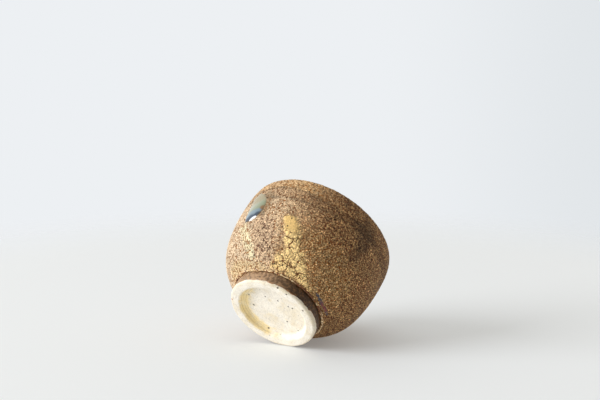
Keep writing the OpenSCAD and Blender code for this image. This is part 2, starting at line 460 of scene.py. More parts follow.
def skin(name, spacing, bearings):
    """Turns the outer face between two bearings, with faces about as long as they are high."""
    shape, _, _, _ = sizes()
    corners = outer_corners(shape, 0)
    first, last = (math.radians(bearing) for bearing in bearings)
    piece = section(name, corners, spacing)
    widest = max(at[0] for _, at, _ in corners)
    turn(piece, round((last - first) * widest / spacing), last - first, first, closed=False)
    return piece


def thin_skin(piece, kept):
    """Deletes the vertices of a skin that aren't kept, and gives it its thickness."""
    edit_some(piece, ~kept, bpy.ops.mesh.delete, type="VERT")
    modify(piece, "SOLIDIFY", thickness=SKIN_DEPTH, offset=-1)


def coat(name, corners, ends, spacing, steps):
    """Turns a coat's face and back into one closed shell, bridged at the ends where they are apart."""
    shape, _, _, _ = sizes()
    face = section(name, corners(shape, 0), spacing)
    back = section(name + "_back", corners(shape, shape.glaze), BACK_EDGES)
    pairs = [[path.data.vertices[end].co.copy() for path in (face, back)] for end in ends]
    join(face, back)
    for pair in pairs:
        bridge(face, *pair)
    turn(face, steps)
    return face


def read(piece, what):
    """The x, y and z of every vertex's place or normal."""
    flat = np.empty(len(piece.data.vertices) * 3, np.float32)
    piece.data.vertices.foreach_get(what, flat)
    return flat.reshape(-1, 3).T.astype(float)


def measured(piece):
    """The bearing in degrees, height and radius of every vertex of a piece."""
    x, y, z = read(piece, "co")
    return np.degrees(np.arctan2(y, x)), z, np.hypot(x, y)


def normals(piece):
    """The outward and upward parts of every vertex normal of a piece."""
    x, y, z = read(piece, "normal")
    bearing = np.radians(measured(piece)[0])
    return x * np.cos(bearing) + y * np.sin(bearing), z


def facing(bearing, side):
    """1 on the side at a bearing, falling to -1 on the far side."""
    return np.cos(np.radians(bearing - side))


def ramp(values, low, high):
    """Rises smoothly from 0 at low to 1 at high."""
    share = np.clip((values - low) / (high - low), 0, 1)
    return share * share * (3 - 2 * share)


def inside(bearing, height, outline, rounding=40):
    """How far points of the wall lie inside an outline, in mm, and negative outside it; a low rounding
    lets the distances to all the edges blend, which leaves no ridge halfway."""
    per_degree = math.radians(1) * WALL_RADIUS
    bearing = np.where(bearing > 90, bearing - 360, bearing)
    x, y = bearing * per_degree, height / MM
    corners = [(corner * per_degree, level) for corner, level in outline]
    closeness = np.zeros(len(x))
    crossed = np.zeros(len(x), bool)
    for (ax, ay), (bx, by) in zip(corners, corners[1:] + corners[:1]):
        across, rise = bx - ax, by - ay
        along = np.clip(((x - ax) * across + (y - ay) * rise) / (across ** 2 + rise ** 2), 0, 1)
        away = np.hypot(x - ax - along * across, y - ay - along * rise)
        closeness += np.maximum(away, 0.01) ** -rounding
        if rise != 0:
            crossed ^= ((ay > y) != (by > y)) & (x < across * (y - ay) / rise + ax)
    nearest = closeness ** (-1 / rounding)
    return np.where(crossed, nearest, -nearest)


def paint(piece, name, values):
    """Stores a number for every vertex of a piece, for its relief and its material to read."""
    layer = piece.data.attributes.new(name, "FLOAT", "POINT")
    layer.data.foreach_set("value", np.asarray(values, np.float32))


def paint_wall(piece):
    """Paints every glaze patch's distance on a piece of the outer wall."""
    bearing, height, _ = measured(piece)
    for name, outline in PATCHES.items():
        paint(piece, name, inside(bearing, height, outline))
    # The side painted paler: partly the flame's mark, partly painted light from the key light
    paint(piece, "fired_pale", ramp(facing(bearing, PALE_LIT_SIDE), -0.25, 0.95))
    uncracked = 0.85 * ramp(height / MM, 16, 19.5)
    paint(piece, "smooth", uncracked * ramp(inside(bearing, height, OCHRE_OUTLINE), 0, 1))
    for name, points in DIP_EDGES.items():
        stops, levels = zip(*points)
        paint(piece, name, height / MM - np.interp(bearing, stops, levels, period=360))


def painted(tree, name):
    """Reads a painted number in a material or in a geometry tree."""
    if tree.bl_idname == "GeometryNodeTree":
        return add(tree, "GeometryNodeInputNamedAttribute", {"Name": name}, data_type="FLOAT")
    return add(tree, "ShaderNodeAttribute", out="Fac", attribute_name=name)


def spot(tree):
    """The place on the piece, in metres, in a material or in a geometry tree."""
    if tree.bl_idname == "GeometryNodeTree":
        return add(tree, "GeometryNodeInputPosition")
    return add(tree, "ShaderNodeTexCoord", out="Object")


def relief(piece, lift):
    """Moves a piece's surface along its normals by what lift gives for a tree, in metres."""
    def moved(tree, surface):
        normal = add(tree, "GeometryNodeInputNormal")
        push = add(tree, "ShaderNodeVectorMath", {0: normal, "Scale": lift(tree)}, operation="SCALE")
        return add(tree, "GeometryNodeSetPosition", {"Geometry": surface, "Offset": push})

    modify(piece, "NODES", node_group=geometry_tree(piece.name + "_relief", moved))


def edge(tree, name, soft, ragged, size=1.6 * MM, strength=1.0):
    """How much of a painted patch shows, with an edge that is soft and ragged by some mm."""
    wander = add(tree, "ShaderNodeTexNoise", {"Vector": spot(tree), "Scale": 1 / size, "Detail": 3.0})
    shift = add(tree, "ShaderNodeMath", {0: wander, 1: 4 * ragged, 2: -2 * ragged},
                operation="MULTIPLY_ADD")
    moved = add(tree, "ShaderNodeMath", {0: painted(tree, name), 1: shift}, operation="ADD")
    return add(tree, "ShaderNodeMapRange", {0: moved, 1: -soft, 2: soft, 4: strength},
               interpolation_type="SMOOTHSTEP")


def stirred(tree, place, size, reach):
    """Shifts a place by noise, so that cells get wavering edges."""
    noise = add(tree, "ShaderNodeTexNoise", {"Vector": place, "Scale": 1 / size, "Detail": 2.0}, out="Color")
    centred = add(tree, "ShaderNodeVectorMath", {0: noise, 1: (0.5, 0.5, 0.5)}, operation="SUBTRACT")
    return add(tree, "ShaderNodeVectorMath", {0: centred, 1: (2 * reach, 2 * reach, 2 * reach), 2: place},
               operation="MULTIPLY_ADD")


def strayed(tree, value, level):
    """How far a value lies from a level, above or below."""
    off = add(tree, "ShaderNodeMath", {0: value, 1: level}, operation="SUBTRACT")
    return add(tree, "ShaderNodeMath", {0: off}, operation="ABSOLUTE")


def grains(tree, size):
    """Islands and curled ridges of crawled glaze: 1 on them, 0 in the narrow gaps."""
    place = stirred(tree, spot(tree), size, size * 0.3)
    mass = add(tree, "ShaderNodeTexNoise", {"Vector": place, "Scale": 1 / size, "Detail": 2.0})
    island = add(tree, "ShaderNodeMapRange", {0: mass, 1: 0.44, 2: 0.55, 4: 0.85})
    curl = add(tree, "ShaderNodeTexNoise", {"Vector": place, "Scale": 0.6 / size, "Detail": 1.0})
    ridge = add(tree, "ShaderNodeMapRange", {0: strayed(tree, curl, 0.5), 1: 0.015, 2: 0.06, 3: 1.0, 4: 0.0})
    stands = add(tree, "ShaderNodeMath", {0: island, 1: ridge}, operation="MAXIMUM")
    bend = add(tree, "ShaderNodeTexNoise", {"Vector": spot(tree), "Scale": 0.45 / size, "Detail": 1.0})
    split = add(tree, "ShaderNodeMapRange", {0: strayed(tree, bend, 0.46), 1: 0.01, 2: 0.04, 3: 0.1, 4: 1.0})
    rim = add(tree, "ShaderNodeTexVoronoi", {"Vector": place, "Scale": 0.7 / size}, out="Distance",
              feature="DISTANCE_TO_EDGE")
    whole = add(tree, "ShaderNodeMapRange", {0: rim, 1: 0.02, 2: 0.12, 3: 0.1, 4: 1.0})
    for gap in (split, whole):
        stands = add(tree, "ShaderNodeMath", {0: stands, 1: gap}, operation="MULTIPLY")
    return stands


def plates(tree, size, crack):
    """Plates of crackled glaze: 1 on a plate, 0 in the cracks between them."""
    place = stirred(tree, spot(tree), size * 0.7, size * 0.28)
    rim = add(tree, "ShaderNodeTexVoronoi", {"Vector": place, "Scale": 1 / size}, out="Distance",
              feature="DISTANCE_TO_EDGE")
    gape = add(tree, "ShaderNodeTexNoise", {"Vector": spot(tree), "Scale": 1 / (size * 1.1), "Detail": 1.0})
    share = crack / size
    width = add(tree, "ShaderNodeMapRange", {0: gape, 1: 0.4, 2: 0.66, 3: -0.5 * share, 4: share})
    past = add(tree, "ShaderNodeMath", {0: rim, 1: width}, operation="SUBTRACT")
    return add(tree, "ShaderNodeMapRange", {0: past, 1: 0.0, 2: 0.04}, interpolation_type="SMOOTHSTEP")


def pinholes(tree, spacing, radius):
    """Pinholes: 1 in a hole, 0 round it."""
    place = stirred(tree, spot(tree), spacing, spacing * 0.2)
    away = add(tree, "ShaderNodeTexVoronoi", {"Vector": place, "Scale": 1 / spacing}, out="Distance")
    shading = tree.bl_idname == "ShaderNodeTree"
    chance = add(tree, "ShaderNodeSeparateColor" if shading else "FunctionNodeSeparateColor",
                 {0: away.node.outputs["Color"]})
    reach = add(tree, "ShaderNodeMapRange", {0: chance, 1: 0.35, 2: 1.0, 3: 0.0, 4: 1.4 * radius / spacing})
    past = add(tree, "ShaderNodeMath", {0: reach, 1: away}, operation="SUBTRACT")
    return add(tree, "ShaderNodeMapRange", {0: past, 1: -0.04, 2: 0.03}, interpolation_type="SMOOTHSTEP")


def crawl(tree):
    """The wall's crawled pattern, from 0 in gaps and cracks to 1 on islands and plates."""
    _, form, _, _ = sizes()
    fine = grains(tree, form.grain)
    filled = add(tree, "ShaderNodeMapRange", {0: fine, 3: 0.6, 4: 1.0})
    crazed = plates(tree, form.craze, 1.8 * form.crack)
    crazed = add(tree, "ShaderNodeMath", {0: crazed, 1: filled}, operation="MULTIPLY")
    thick = add(tree, "ShaderNodeMapRange", {0: painted(tree, "fired_pale"), 1: 0.08, 2: 0.65, 4: 0.88})
    fine = add(tree, "ShaderNodeMix", {0: thick, 2: fine, 3: crazed})
    worn = add(tree, "ShaderNodeMapRange", {0: fine, 3: 0.88, 4: 1.0})
    cracked = worn
    for size in (form.plate, 2.1 * form.plate):
        whole = plates(tree, size, form.crack)
        cracked = add(tree, "ShaderNodeMath", {0: cracked, 1: whole}, operation="MULTIPLY")
    cracked = add(tree, "ShaderNodeMix", {0: painted(tree, "smooth"), 2: cracked, 3: worn})
    return add(tree, "ShaderNodeMix", {0: edge(tree, "ochre", *OCHRE_EDGE), 2: fine, 3: cracked})


def wall_lift(tree):
    """How far the wall's glaze stands above its mean face, in metres."""
    _, form, _, _ = sizes()
    grain = add(tree, "ShaderNodeMath", {0: crawl(tree), 1: 0.6}, operation="SUBTRACT")
    rise = add(tree, "ShaderNodeMath", {0: grain, 1: form.grain_rise}, operation="MULTIPLY")
    holes = pinholes(tree, form.pit_spacing, form.pit)
    pitted = add(tree, "ShaderNodeMath", {0: holes, 1: -0.2 * MM, 2: rise}, operation="MULTIPLY_ADD")
    drift = add(tree, "ShaderNodeTexNoise", {"Vector": spot(tree), "Scale": 1 / (14 * MM), "Detail": 2.0})
    swayed = add(tree, "ShaderNodeMath", {0: drift, 1: 2 * form.sway, 2: -form.sway},
                 operation="MULTIPLY_ADD")
    summed = add(tree, "ShaderNodeMath", {0: pitted, 1: swayed}, operation="ADD")
    return add(tree, "ShaderNodeMath", {0: summed, 1: painted(tree, "raised")}, operation="MULTIPLY")


def dip_line(tree, name):
    """How much of its brightness the wall keeps along an edge of the dip band, where glaze gathered dark."""
    wander = add(tree, "ShaderNodeTexNoise", {"Vector": spot(tree), "Scale": 1 / (2.5 * MM), "Detail": 3.0})
    moved = add(tree, "ShaderNodeMath", {0: wander, 1: 1.6, 2: painted(tree, name)},
                operation="MULTIPLY_ADD")
    return add(tree, "ShaderNodeMapRange", {0: strayed(tree, moved, 0.8), 1: 0.1, 2: 1.1, 3: 0.68, 4: 1.0},
               interpolation_type="SMOOTHSTEP")


def wall_colour(tree):
    """The colours of the crawled glaze with its patches, bands and pinholes."""
    _, form, tint, _ = sizes()
    # Side painted paler, partly painted light from the key; the lip band shows stronger there, fainter far
    # out
    fired = painted(tree, "fired_pale")
    low = edge(tree, "above_lower", 1.2, 0.6, 3 * MM, 0.45)
    high = edge(tree, "above_upper", 0.9, 0.6, 3 * MM)
    lip_lit_share = add(tree, "ShaderNodeMapRange", {0: fired, 1: 0.02, 2: 0.5, 3: 0.12})
    lip_fade = add(tree, "ShaderNodeMapRange", {0: fired, 1: 0.45, 2: 0.9, 3: 1.0, 4: 0.5})
    for held in (lip_lit_share, lip_fade):
        high = add(tree, "ShaderNodeMath", {0: high, 1: held}, operation="MULTIPLY")
    mauve = edge(tree, "mauve", 0.9, 2.6, 1.8 * MM)
    # The smoked patch, partly painted shade on the dark side
    smoky = edge(tree, "smoky", 2.2, 1.5, 3 * MM, 0.62)
    pale = edge(tree, "pale", 0.9, 1.0)
    gilt = edge(tree, "gilt", 2.5, 2.0, 4 * MM, 0.9)
    ochre = edge(tree, "ochre", *OCHRE_EDGE)
    calm = add(tree, "ShaderNodeMath", {0: painted(tree, "smooth"), 1: ochre}, operation="MULTIPLY")
    grain = laid(
        tree, tint.grain, (fired, tint.pale_lit_grain), (low, tint.dip_grain), (high, tint.lip_grain),
        (mauve, tint.mauve), (smoky, tint.smoky), (edge(tree, "halo", 1.2, 0.8), tint.halo),
        (pale, tint.pale), (edge(tree, "fringe", 0.8, 0.9), tint.roll), (gilt, tint.gilt),
        (ochre, tint.ochre_plate), (calm, tint.ochre_smooth))
    ground = laid(
        tree, tint.ground, (fired, tint.pale_lit_ground), (low, tint.dip_ground), (high, tint.lip_ground),
        (mauve, tint.mauve_ground), (smoky, tint.foot_glaze), (gilt, tint.gilt_ground),
        (ochre, tint.ochre_crack))
    body = laid(tree, ground, (crawl(tree), grain))
    cells = {"Vector": stirred(tree, spot(tree), form.grain, form.grain * 0.35), "Scale": 1 / form.grain}
    own = add(tree, "ShaderNodeSeparateColor", {0: add(tree, "ShaderNodeTexVoronoi", cells, out="Color")})
    speckle = add(tree, "ShaderNodeMapRange", {0: own, 3: 0.7, 4: 1.3})
    grit = add(tree, "ShaderNodeTexNoise", {"Vector": spot(tree), "Scale": 1 / (0.5 * MM), "Detail": 1.0})
    gritty = add(tree, "ShaderNodeMapRange", {0: grit, 1: 0.3, 2: 0.7, 3: 0.4, 4: 1.65})
    spread = add(tree, "ShaderNodeMath", {0: gritty, 1: speckle}, operation="MULTIPLY")
    # On the side painted paler the grit is calmed as well, as part of that painted light
    for share, most in ((fired, 0.45), (ochre, 0.3)):
        settled = add(tree, "ShaderNodeMath", {0: share, 1: most}, operation="MULTIPLY")
        calm = add(tree, "ShaderNodeMath", {0: calm, 1: settled}, operation="MAXIMUM")
    spread = add(tree, "ShaderNodeMix", {0: calm, 2: spread, 3: 0.96})
    cloud = add(tree, "ShaderNodeTexNoise", {"Vector": spot(tree), "Scale": 1 / (7 * MM), "Detail": 3.0})
    dose = add(tree, "ShaderNodeMapRange", {0: cloud, 1: 0.3, 2: 0.7, 3: 0.86, 4: 1.14})
    # Painted light: the pale patch is brightened further
    painted_light_on_pale = add(tree, "ShaderNodeMapRange", {0: pale, 3: 1.0, 4: 1.14})
    for factor in (spread, painted_light_on_pale, dip_line(tree, "above_upper"), dip_line(tree, "above_lower")):
        dose = add(tree, "ShaderNodeMath", {0: dose, 1: factor}, operation="MULTIPLY")
    toned = add(tree, "ShaderNodeVectorMath", {0: body, "Scale": dose}, operation="SCALE")
    pricks = pinholes(tree, 0.55 * form.pit_spacing, 0.6 * form.pit)
    faint = add(tree, "ShaderNodeMath", {0: pricks, 1: 0.55}, operation="MULTIPLY")
    return laid(tree, toned, (faint, tint.pit), (pinholes(tree, form.pit_spacing, form.pit), tint.pit))


def wall_bump(tree):
    """Fine relief too small for the mesh: the rims of the islands and the grit on them."""
    grit = add(tree, "ShaderNodeTexNoise", {"Vector": spot(tree), "Scale": 1 / (0.3 * MM), "Detail": 3.0})
    summed = add(tree, "ShaderNodeMath", {0: grit, 1: 0.6, 2: crawl(tree)}, operation="MULTIPLY_ADD")
    return add(tree, "ShaderNodeBump", {"Height": summed, "Strength": 1.0, "Distance": 0.32 * MM})


def crawled_ash_glaze(tree):
    """Matt ash glaze that crawled as it dried: dry islands on a darker fused ground, hardly any gloss."""
    return {"Base Color": wall_colour(tree), "Normal": wall_bump(tree), "Roughness": 0.62, "IOR": 1.5,
            "Specular IOR Level": 0.25}


def fired_stoneware_bowl(tree):
    """Bare fired stoneware: chalky, cream, with damp-looking patches and a fine sandy tooth."""
    _, _, tint, _ = sizes()
    cloud = add(tree, "ShaderNodeTexNoise", {"Vector": spot(tree), "Scale": 1 / (6 * MM), "Detail": 4.0})
    damp = add(tree, "ShaderNodeMapRange", {0: cloud, 1: 0.4, 2: 0.75})
    sand = add(tree, "ShaderNodeTexNoise", {"Vector": spot(tree), "Scale": 1 / (0.4 * MM), "Detail": 3.0})
    tooth = add(tree, "ShaderNodeBump", {"Height": sand, "Strength": 0.4, "Distance": 0.05 * MM})
    return {"Base Color": laid(tree, tint.clay, (damp, tint.clay_shade)), "Normal": tooth,
            "Roughness": 0.85}


def finish_piece(piece, finish, node):
    """Gives a finished piece its material and ties it to the frame."""
    piece.data.materials.clear()
    piece.data.materials.append(material(finish))
    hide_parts(node)
    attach(piece, "root")


def outer_corners(shape, inset):
    """Corners of the outer face from the hip to the top of the lip, moved in by inset."""
    belly = shape.belly_radius - inset
    lip = belly - shape.lip_draw
    half = shape.lip_thickness / 2
    top = shape.lip_height - inset
    hip = shape.foot_radius + shape.hip_step - inset * math.sqrt(2)
    belly_height = shape.lip_height - shape.belly_drop
    flare = HIP_FLARE * math.sqrt(0.5)
    return (
        ((hip, shape.foot_height), (hip, shape.foot_height), (hip + flare, shape.foot_height + flare)),
        ((belly, belly_height - BELLY_FALL), (belly, belly_height), (belly, belly_height + BELLY_RISE)),
        ((lip, top - half - LIP_FALL), (lip, top - half), (lip, top - half * (1 - ARC_SHARE))),
        ((lip - half * (1 - ARC_SHARE), top), (lip - half + inset, top), (lip - half + inset, top)),
    )


def inner_corners(shape, inset):
    """Corners of the inner face from the top of the lip to the middle of the floor, moved into the wall."""
    lip = shape.belly_radius - shape.lip_draw - shape.lip_thickness + inset
    belly = shape.belly_radius - shape.wall_thickness + inset
    half = shape.lip_thickness / 2
    top = shape.lip_height - inset
    belly_height = shape.lip_height - shape.belly_drop
    floor = shape.foot_height + shape.floor_thickness - inset
    return (
        ((lip + half - inset, top), (lip + half - inset, top), (lip + half * (1 - ARC_SHARE), top)),
        ((lip, top - half * (1 - ARC_SHARE)), (lip, top - half), (lip, top - half - LIP_FALL)),
        ((belly, belly_height + BELLY_RISE), (belly, belly_height), (belly, belly_height - INNER_FALL)),
        ((FLOOR_REACH, floor), (0, floor), (0, floor)),
    )


class GUINOMI_OT_bowl_clay(bpy.types.Operator):
    """Gives the thrown bowl its fired clay"""
    bl_idname = "guinomi.bowl_clay"
    bl_label = "Bowl clay"

    def execute(self, context):
        bowl = frame["nodes"]["bowl"]
        bowl.data.materials.clear()
        bowl.data.materials.append(material(fired_stoneware_bowl))
        return {"FINISHED"}


class GUINOMI_OT_outer_coat(bpy.types.Operator):
    """Models the crawled brown glaze on the outside of the bowl"""
    bl_idname = "guinomi.outer_coat"
    bl_label = "Outer coat"

    def execute(self, context):
        outside = coat("coat_outside", outer_corners, (0, -1), 0.3 * MM, 576)
        outward, upward = normals(outside)
        paint(outside, "raised", ramp(outward + 0.3 * np.abs(upward), 0.0, 0.35))
        paint_wall(outside)
        relief(outside, wall_lift)
        finish_piece(outside, crawled_ash_glaze, "outer_glaze")
        return {"FINISHED"}


class GUINOMI_OT_inner_coat(bpy.types.Operator):
    """Models the glossy glaze that pools inside the bowl"""
    bl_idname = "guinomi.inner_coat"
    bl_label = "Inner coat"

    def execute(self, context):
        within = coat("coat_inside", inner_corners, (0,), 0.4 * MM, 420)
        outward, upward = normals(within)
        paint(within, "raised", ramp(upward - outward, 0.2, 0.7))
        relief(within, inner_lift)
        finish_piece(within, pooled_wood_ash_glaze, "inner_glaze")
        return {"FINISHED"}


def inner_lift(tree):
    """The throwing rings under the inner glaze, in metres."""
    level = add(tree, "ShaderNodeVectorMath", {0: spot(tree), 1: (0.12, 0.12, 1.0)}, operation="MULTIPLY")
    ring = add(tree, "ShaderNodeTexNoise", {"Vector": level, "Scale": 1 / (5 * MM), "Detail": 1.0})
    lift = add(tree, "ShaderNodeMath", {0: ring, 1: 0.5 * MM, 2: -0.25 * MM}, operation="MULTIPLY_ADD")
    return add(tree, "ShaderNodeMath", {0: lift, 1: painted(tree, "raised")}, operation="MULTIPLY")


def pooled_wood_ash_glaze(tree):
    """Runny glossy glaze: thin and ochre at the lip, olive down the wall, a blue-green pool."""
    _, _, tint, _ = sizes()
    height = add(tree, "ShaderNodeSeparateXYZ", {0: spot(tree)}, out="Z")
    drawn = add(tree, "ShaderNodeVectorMath", {0: spot(tree), 1: (1.0, 1.0, 0.22)}, operation="MULTIPLY")
    runs = add(tree, "ShaderNodeTexNoise", {"Vector": drawn, "Scale": 1 / (2.6 * MM), "Detail": 4.0})
    level = add(tree, "ShaderNodeMath", {0: runs, 1: 20 * MM, 2: height}, operation="MULTIPLY_ADD")
    lip, pool = (add(tree, "ShaderNodeMapRange", {0: level, 1: low * MM, 2: full * MM},
                     interpolation_type="SMOOTHSTEP") for low, full in ((45, 53), (31, 16)))
    body = laid(tree, tint.inner_wall, (pool, tint.inner_pool), (lip, tint.inner_lip))
    streaky = add(tree, "ShaderNodeMapRange", {0: runs, 1: 0.3, 2: 0.7, 3: 0.7, 4: 1.25})
    toned = add(tree, "ShaderNodeVectorMath", {0: body, "Scale": streaky}, operation="SCALE")
    net = add(tree, "ShaderNodeTexVoronoi", {"Vector": spot(tree), "Scale": 1 / (2.8 * MM)}, out="Distance",
              feature="DISTANCE_TO_EDGE")
    line = add(tree, "ShaderNodeMapRange", {0: net, 1: 0.03, 2: 0.0, 4: 0.35})
    dimple = add(tree, "ShaderNodeTexNoise", {"Vector": spot(tree), "Scale": 1 / (1.5 * MM), "Detail": 2.0})
    bump = add(tree, "ShaderNodeBump", {"Height": dimple, "Strength": 0.5, "Distance": 0.2 * MM})
    return {"Base Color": laid(tree, toned, (line, tint.pit)), "Normal": bump, "Roughness": 0.22,
            "IOR": 1.52}


def rounded(points):
    """Corners of a path of square turns, from points of radius, height and rounding."""
    corners = []
    for place, (radius, height, rounding) in enumerate(points):
        at = Vector((radius, height))
        if rounding == 0:
            corners.append((at, at, at))
            continue
        back = (Vector(points[place - 1][:2]) - at).normalized()
        onward = (Vector(points[place + 1][:2]) - at).normalized()
        pull = rounding * (1 - ARC_SHARE)
        corners.append((at + back * rounding, at + back * rounding, at + back * pull))
        corners.append((at + onward * pull, at + onward * rounding, at + onward * rounding))
    return corners


class GUINOMI_OT_foot(bpy.types.Operator):
    """Models the turned foot of bare clay with its recess, specks and wash"""
    bl_idname = "guinomi.foot"
    bl_label = "Foot"

    def execute(self, context):
        shape, _, _, _ = sizes()
        face = (
            (0, shape.recess_depth, 0),
            (shape.recess_radius, shape.recess_depth, 1.3 * MM),
            (shape.recess_radius, 0, 0.8 * MM),
            (shape.foot_radius, 0, 0.7 * MM),
            (shape.foot_radius, shape.foot_height, 0),
        )
        foot = section("turned_foot", rounded(face), 0.2 * MM)
        join(foot, section("turned_foot_top", rounded((face[-1], (0, shape.foot_height, 0))), 5 * MM))
        turn(foot, 480)
        _, upward = normals(foot)
        bearing, height, radius = measured(foot)
        x = radius * np.cos(np.radians(bearing)) / MM
        y = radius * np.sin(np.radians(bearing)) / MM
        away = np.min([np.hypot(x - left, y - up) for left, up in SPECKS], axis=0)
        near_wall = ramp(radius / MM, 8.6, 12.6) * (1 - ramp(radius / MM, 13.2, 14.6))
        paint(foot, "raised", 1 - ramp(upward, 0.2, 0.7))
        paint(foot, "speck", np.where(height < shape.recess_depth + 0.5 * MM, away, 9.0))
        paint(foot, "rust", np.hypot(x - RUST_SPOT[0], y - RUST_SPOT[1]))
        paint(foot, "wash", near_wall * ramp(facing(bearing, WASH_SIDE), 0.05, 0.85))
        # Painted shade: darker clay round the foot's rounded outer edge
        paint(foot, "edge", ramp(radius / MM, 16.0, 17.0) * (1 - ramp(upward, -0.2, 0.4)))
        relief(foot, foot_lift)
        finish_piece(foot, fired_stoneware_foot, "foot")
        return {"FINISHED"}


def rings(tree, spacing):
    """Fine rings that a turning tool leaves round the axis."""
    apart = add(tree, "ShaderNodeSeparateXYZ", {0: spot(tree)}, out="Z")
    flat = add(tree, "ShaderNodeVectorMath", {0: spot(tree), 1: (1.0, 1.0, 0.0)}, operation="MULTIPLY")
    radius = add(tree, "ShaderNodeVectorMath", {0: flat}, out="Value", operation="LENGTH")
    groove = add(tree, "ShaderNodeCombineXYZ", {0: radius, 1: apart})
    return add(tree, "ShaderNodeTexNoise", {"Vector": groove, "Scale": 1 / spacing, "Detail": 2.0})


def foot_lift(tree):
    """How far the foot's turned clay strays from true, in metres."""
    _, form, _, _ = sizes()
    drift = add(tree, "ShaderNodeTexNoise", {"Vector": spot(tree), "Scale": 1 / (7 * MM), "Detail": 3.0})
    swayed = add(tree, "ShaderNodeMath", {0: drift, 1: 5 * form.sway, 2: -2.5 * form.sway},
                 operation="MULTIPLY_ADD")
    turned = add(tree, "ShaderNodeMath", {0: rings(tree, 1.6 * MM), 1: 0.12 * MM, 2: swayed},
                 operation="MULTIPLY_ADD")
    return add(tree, "ShaderNodeMath", {0: turned, 1: painted(tree, "raised")}, operation="MULTIPLY")


def fired_stoneware_foot(tree):
    """Bare stoneware turned with a tool: warm cream, iron specks, an ochre wash caught in the recess."""
    _, _, tint, _ = sizes()
    cloud = add(tree, "ShaderNodeTexNoise", {"Vector": spot(tree), "Scale": 1 / (5 * MM), "Detail": 5.0})
    damp = add(tree, "ShaderNodeMapRange", {0: cloud, 1: 0.45, 2: 0.75, 4: 0.7})
    wander = add(tree, "ShaderNodeTexNoise", {"Vector": spot(tree), "Scale": 1 / (2.5 * MM), "Detail": 4.0})
    soaked = add(tree, "ShaderNodeMath", {0: wander, 1: 1.6, 2: -1.25}, operation="MULTIPLY_ADD")
    soaked = add(tree, "ShaderNodeMath", {0: rings(tree, 0.8 * MM), 1: 0.8, 2: soaked},
                 operation="MULTIPLY_ADD")
    soaked = add(tree, "ShaderNodeMath", {0: painted(tree, "wash"), 1: soaked}, operation="ADD")
    wash = add(tree, "ShaderNodeMapRange", {0: soaked, 1: 0.05, 2: 1.05}, interpolation_type="SMOOTHSTEP")
    streaky = add(tree, "ShaderNodeMapRange", {0: rings(tree, 0.45 * MM), 1: 0.35, 2: 0.6, 3: 0.8, 4: 1.04})
    stain = add(tree, "ShaderNodeVectorMath", {0: tuple(tint.wash), "Scale": streaky}, operation="SCALE")
    # Painted shade on the foot's outer edge, broken by noise: clay_shade is laid there
    worn = add(tree, "ShaderNodeMath", {0: painted(tree, "edge"), 1: wander}, operation="MULTIPLY")
    bitten = add(tree, "ShaderNodeMath", {0: wander, 1: 0.5, 2: -0.1}, operation="MULTIPLY_ADD")
    gap = add(tree, "ShaderNodeMath", {0: painted(tree, "speck"), 1: bitten}, operation="SUBTRACT")
    speck = add(tree, "ShaderNodeMapRange", {0: gap, 1: 0.34, 2: 0.05, 4: 0.95},
                interpolation_type="SMOOTHSTEP")
    rust = add(tree, "ShaderNodeMapRange", {0: painted(tree, "rust"), 1: 0.6, 2: 0.25, 4: 0.75})
    body = laid(tree, tint.clay, (damp, tint.clay_shade), (wash, stain), (worn, tint.clay_shade),
                (speck, tint.speck), (rust, tint.scorch))
    for spacing, radius, strength in ((1.7 * MM, 0.2 * MM, 0.35), (0.9 * MM, 0.16 * MM, 0.22)):
        dust = pinholes(tree, spacing, radius)
        faint = add(tree, "ShaderNodeMath", {0: dust, 1: strength}, operation="MULTIPLY")
        body = laid(tree, body, (faint, tint.speck))
    sand = add(tree, "ShaderNodeTexNoise", {"Vector": spot(tree), "Scale": 1 / (0.6 * MM), "Detail": 4.0})
    dusty = add(tree, "ShaderNodeMapRange", {0: sand, 1: 0.34, 2: 0.52, 3: 0.9, 4: 1.05})
    tooled = add(tree, "ShaderNodeMath", {0: rings(tree, 0.5 * MM), 1: 0.7, 2: sand},
                 operation="MULTIPLY_ADD")
    return {
        "Base Color": add(tree, "ShaderNodeVectorMath", {0: body, "Scale": dusty}, operation="SCALE"),
        "Normal": add(tree, "ShaderNodeBump", {"Height": tooled, "Strength": 0.9, "Distance": 0.2 * MM}),
        "Roughness": 0.8,
    }


class GUINOMI_OT_foot_coat(bpy.types.Operator):
    """Models the thin dark glaze round the foot, with its ragged lower edge"""
    bl_idname = "guinomi.foot_coat"
    bl_label = "Foot coat"

    def execute(self, context):
        shape, _, _, _ = sizes()
        wall = ((shape.foot_radius, 0.3 * MM, 0), (shape.foot_radius, shape.foot_height, 0))
        band = section("foot_coat", rounded(wall), 0.2 * MM)
        turn(band, 480, closed=False)
        bearing, height, _ = measured(band)
        bare = ramp(facing(bearing, STRIP_SIDE), *(math.cos(math.radians(reach)) for reach in STRIP_REACH))
        covered = height / MM - COAT_HEM - STRIP_STEP * bare
        paint(band, "cover", covered)
        # Where the lighter bloom lies: towards the key light, so partly painted light
        paint(band, "left", ramp(facing(bearing, BLOOM_SHEEN_SIDE), 0.12, 0.95))
        relief(band, foot_coat_lift)
        thin_skin(band, covered > -0.45)
        finish_piece(band, thin_iron_glaze, "foot_glaze")
        return {"FINISHED"}


def foot_coat_lift(tree):
    """The thin glaze's face, which dives under the clay where the glaze ends, in metres."""
    cover = edge(tree, "cover", 0.45, 0.3, 2.2 * MM)
    lift = add(tree, "ShaderNodeMapRange", {0: cover, 3: -0.34 * MM, 4: 0.1 * MM})
    beads = add(tree, "ShaderNodeTexNoise", {"Vector": spot(tree), "Scale": 1 / (0.9 * MM), "Detail": 2.0})
    return add(tree, "ShaderNodeMath", {0: beads, 1: 0.25 * MM, 2: lift}, operation="MULTIPLY_ADD")


